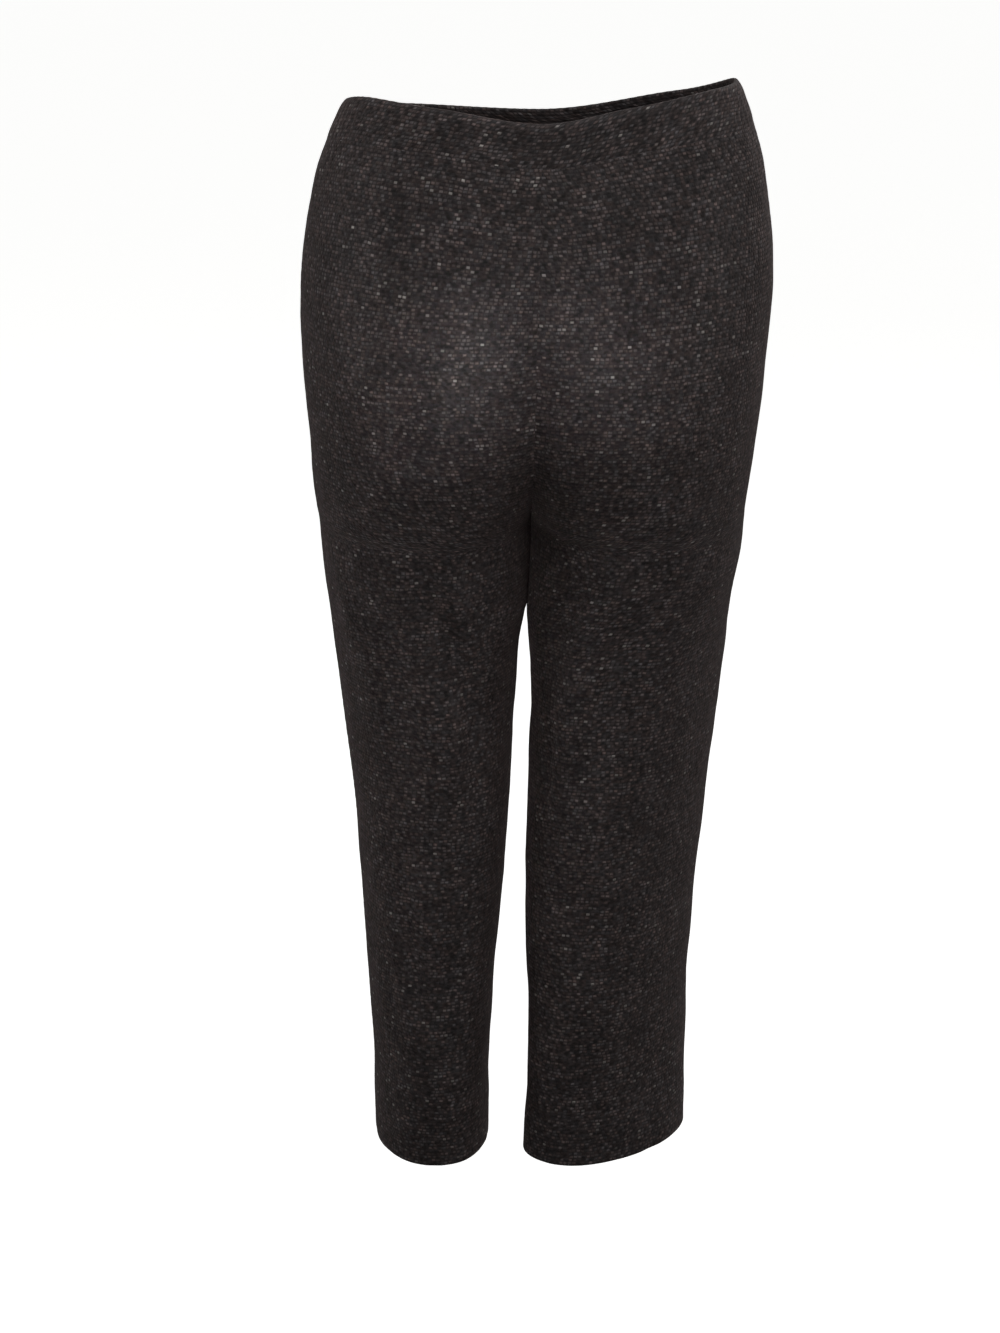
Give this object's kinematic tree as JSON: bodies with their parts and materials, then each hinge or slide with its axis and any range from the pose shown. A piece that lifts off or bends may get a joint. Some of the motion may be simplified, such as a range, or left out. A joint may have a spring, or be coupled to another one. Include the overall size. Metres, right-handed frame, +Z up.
{
  "type": "capri pants",
  "caption": "Pull-on capri pants in a dark glitter knit: folded elastic waistband, slim straight legs, turned-up hems, filled out as worn.",
  "frame": {"origin": "middle of the waist opening, at the height of the waist edge over the hips", "axes": "+Z up towards the wearer's waist, -Y towards the wearer's front, +X towards the wearer's left"},
  "size_m": [0.3623, 0.253, 0.8663],
  "materials": {
    "panel_knit": "matte black-brown knit with fine metallic glitter",
    "waistband_knit": "the same knit, doubled over elastic"
  },
  "bodies": {
    "root": {"waistband": "waistband_knit", "back_left": "panel_knit", "back_right": "panel_knit", "front_left": "panel_knit", "front_right": "panel_knit"}
  },
  "joints": []
}
